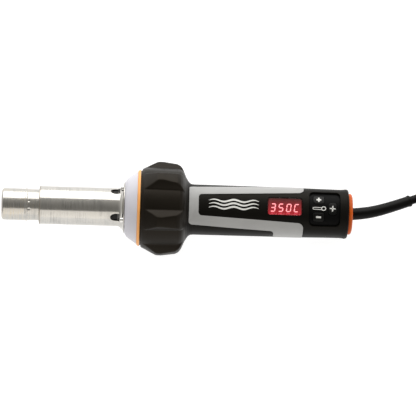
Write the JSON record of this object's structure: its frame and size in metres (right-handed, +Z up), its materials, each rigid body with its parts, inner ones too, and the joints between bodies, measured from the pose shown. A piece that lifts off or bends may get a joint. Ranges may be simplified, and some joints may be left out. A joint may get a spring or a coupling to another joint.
{
  "type": "hot air gun",
  "caption": "Inline hot air gun: steel heater tube, grey heat shield, lobed rubber stand collar, slim handle with red display and keypad, coiled mains lead and plug.",
  "frame": {"origin": "bottom centre of the tool as it lies on a table on two collar lobes and its tail rim, the lead not counted", "axes": "+X from the nozzle end to the tail, +Z up with the display on top, +Y to the left seen from the tail"},
  "size_m": [0.5539, 0.1322, 0.0844],
  "materials": {
    "brushed_steel": "fine circumferential brush lines",
    "dark_steel": "zinc-plated and pressed steel",
    "black_plastic": "satin moulded plastic",
    "black_rubber": "soft matte rubber",
    "grey_grip": "satin silver-grey moulding",
    "shield_grey": "smooth pale grey moulding",
    "orange_plastic": "satin orange moulding",
    "seal_orange": "light orange silicone",
    "red_window": "dark red clear window",
    "ceramic": "fired ceramic",
    "mica": "mica sheet",
    "board_green": "solder-masked board",
    "copper": "copper windings",
    "natural_plastic": "unpainted engineering plastic",
    "aluminium": "extruded aluminium",
    "carbon": "carbon and black epoxy"
  },
  "bodies": {
    "tool": {"element_tube": "brushed_steel", "guard_tube": "brushed_steel", "flange_screw_1": "dark_steel", "flange_screw_2": "dark_steel", "flange_screw_3": "dark_steel", "flange_screw_4": "dark_steel", "ceramic_core": "ceramic", "mica_sleeve": "mica", "element_base": "ceramic", "thermocouple": "dark_steel", "heat_shield": "shield_grey", "front_seal_ring": "seal_orange", "air_duct": "natural_plastic", "fan_housing": "black_plastic", "motor_mount_ring": "black_rubber", "motor_can": "dark_steel", "motor_end_cap": "black_plastic", "front_bearing": "brushed_steel", "rear_bearing": "brushed_steel", "carbon_brush_1": "carbon", "carbon_brush_2": "carbon", "stand_collar": "black_rubber", "upper_shell": "black_plastic", "lower_shell": "black_plastic", "grip_frame_upper": "grey_grip", "grip_frame_lower": "grey_grip", "shell_screw_1": "dark_steel", "shell_screw_2": "dark_steel", "shell_screw_3": "dark_steel", "shell_screw_4": "dark_steel", "display_window": "red_window", "display_module": "carbon", "keypad_mat": "black_rubber", "display_board": "board_green", "plus_tact_switch": "carbon", "minus_tact_switch": "carbon", "fan_tact_switch": "carbon", "control_board": "board_green", "triac_heat_sink": "aluminium", "terminal_block": "natural_plastic", "switch_body": "black_plastic", "rear_cap": "orange_plastic", "filter_mesh": "brushed_steel", "cable_clamp": "black_plastic", "clamp_screw_1": "dark_steel", "clamp_screw_2": "dark_steel", "strain_relief": "black_rubber", "power_cord": "black_rubber", "cord_coil": "black_rubber", "cord_tail": "black_rubber", "plug_body": "black_plastic", "plug_pin_1": "brushed_steel", "plug_pin_2": "brushed_steel"},
    "rotor": {"fan_impeller": "natural_plastic", "armature": "copper", "motor_shaft": "brushed_steel"},
    "plus_key": {"plus_button": "black_rubber"},
    "minus_key": {"minus_button": "black_rubber"},
    "fan_key": {"fan_button": "black_rubber"},
    "rocker": {"power_rocker": "black_plastic"}
  },
  "joints": [
    {"name": "rotor_spin", "type": "hinge", "parent": "tool", "child": "rotor", "pos_m": [-0.00322, 0, 0.04095], "axis": [0.9952, 0, -0.0974], "continuous": true},
    {"name": "plus_press", "type": "slide", "parent": "tool", "child": "plus_key", "axis": [-0.0902, -0.3779, -0.9214], "range_m": [0, 0.0007], "stiffness_N_per_m": 800},
    {"name": "minus_press", "type": "slide", "parent": "tool", "child": "minus_key", "axis": [-0.0902, 0.3779, -0.9214], "range_m": [0, 0.0007], "stiffness_N_per_m": 800},
    {"name": "fan_press", "type": "slide", "parent": "tool", "child": "fan_key", "axis": [-0.0974, 0, -0.9952], "range_m": [0, 0.0007], "stiffness_N_per_m": 800},
    {"name": "power_rocker_tilt", "type": "hinge", "parent": "tool", "child": "rocker", "pos_m": [0.1355, 0, 0.00566], "axis": [0, 1, 0], "range_deg": [-14, 0]}
  ]
}
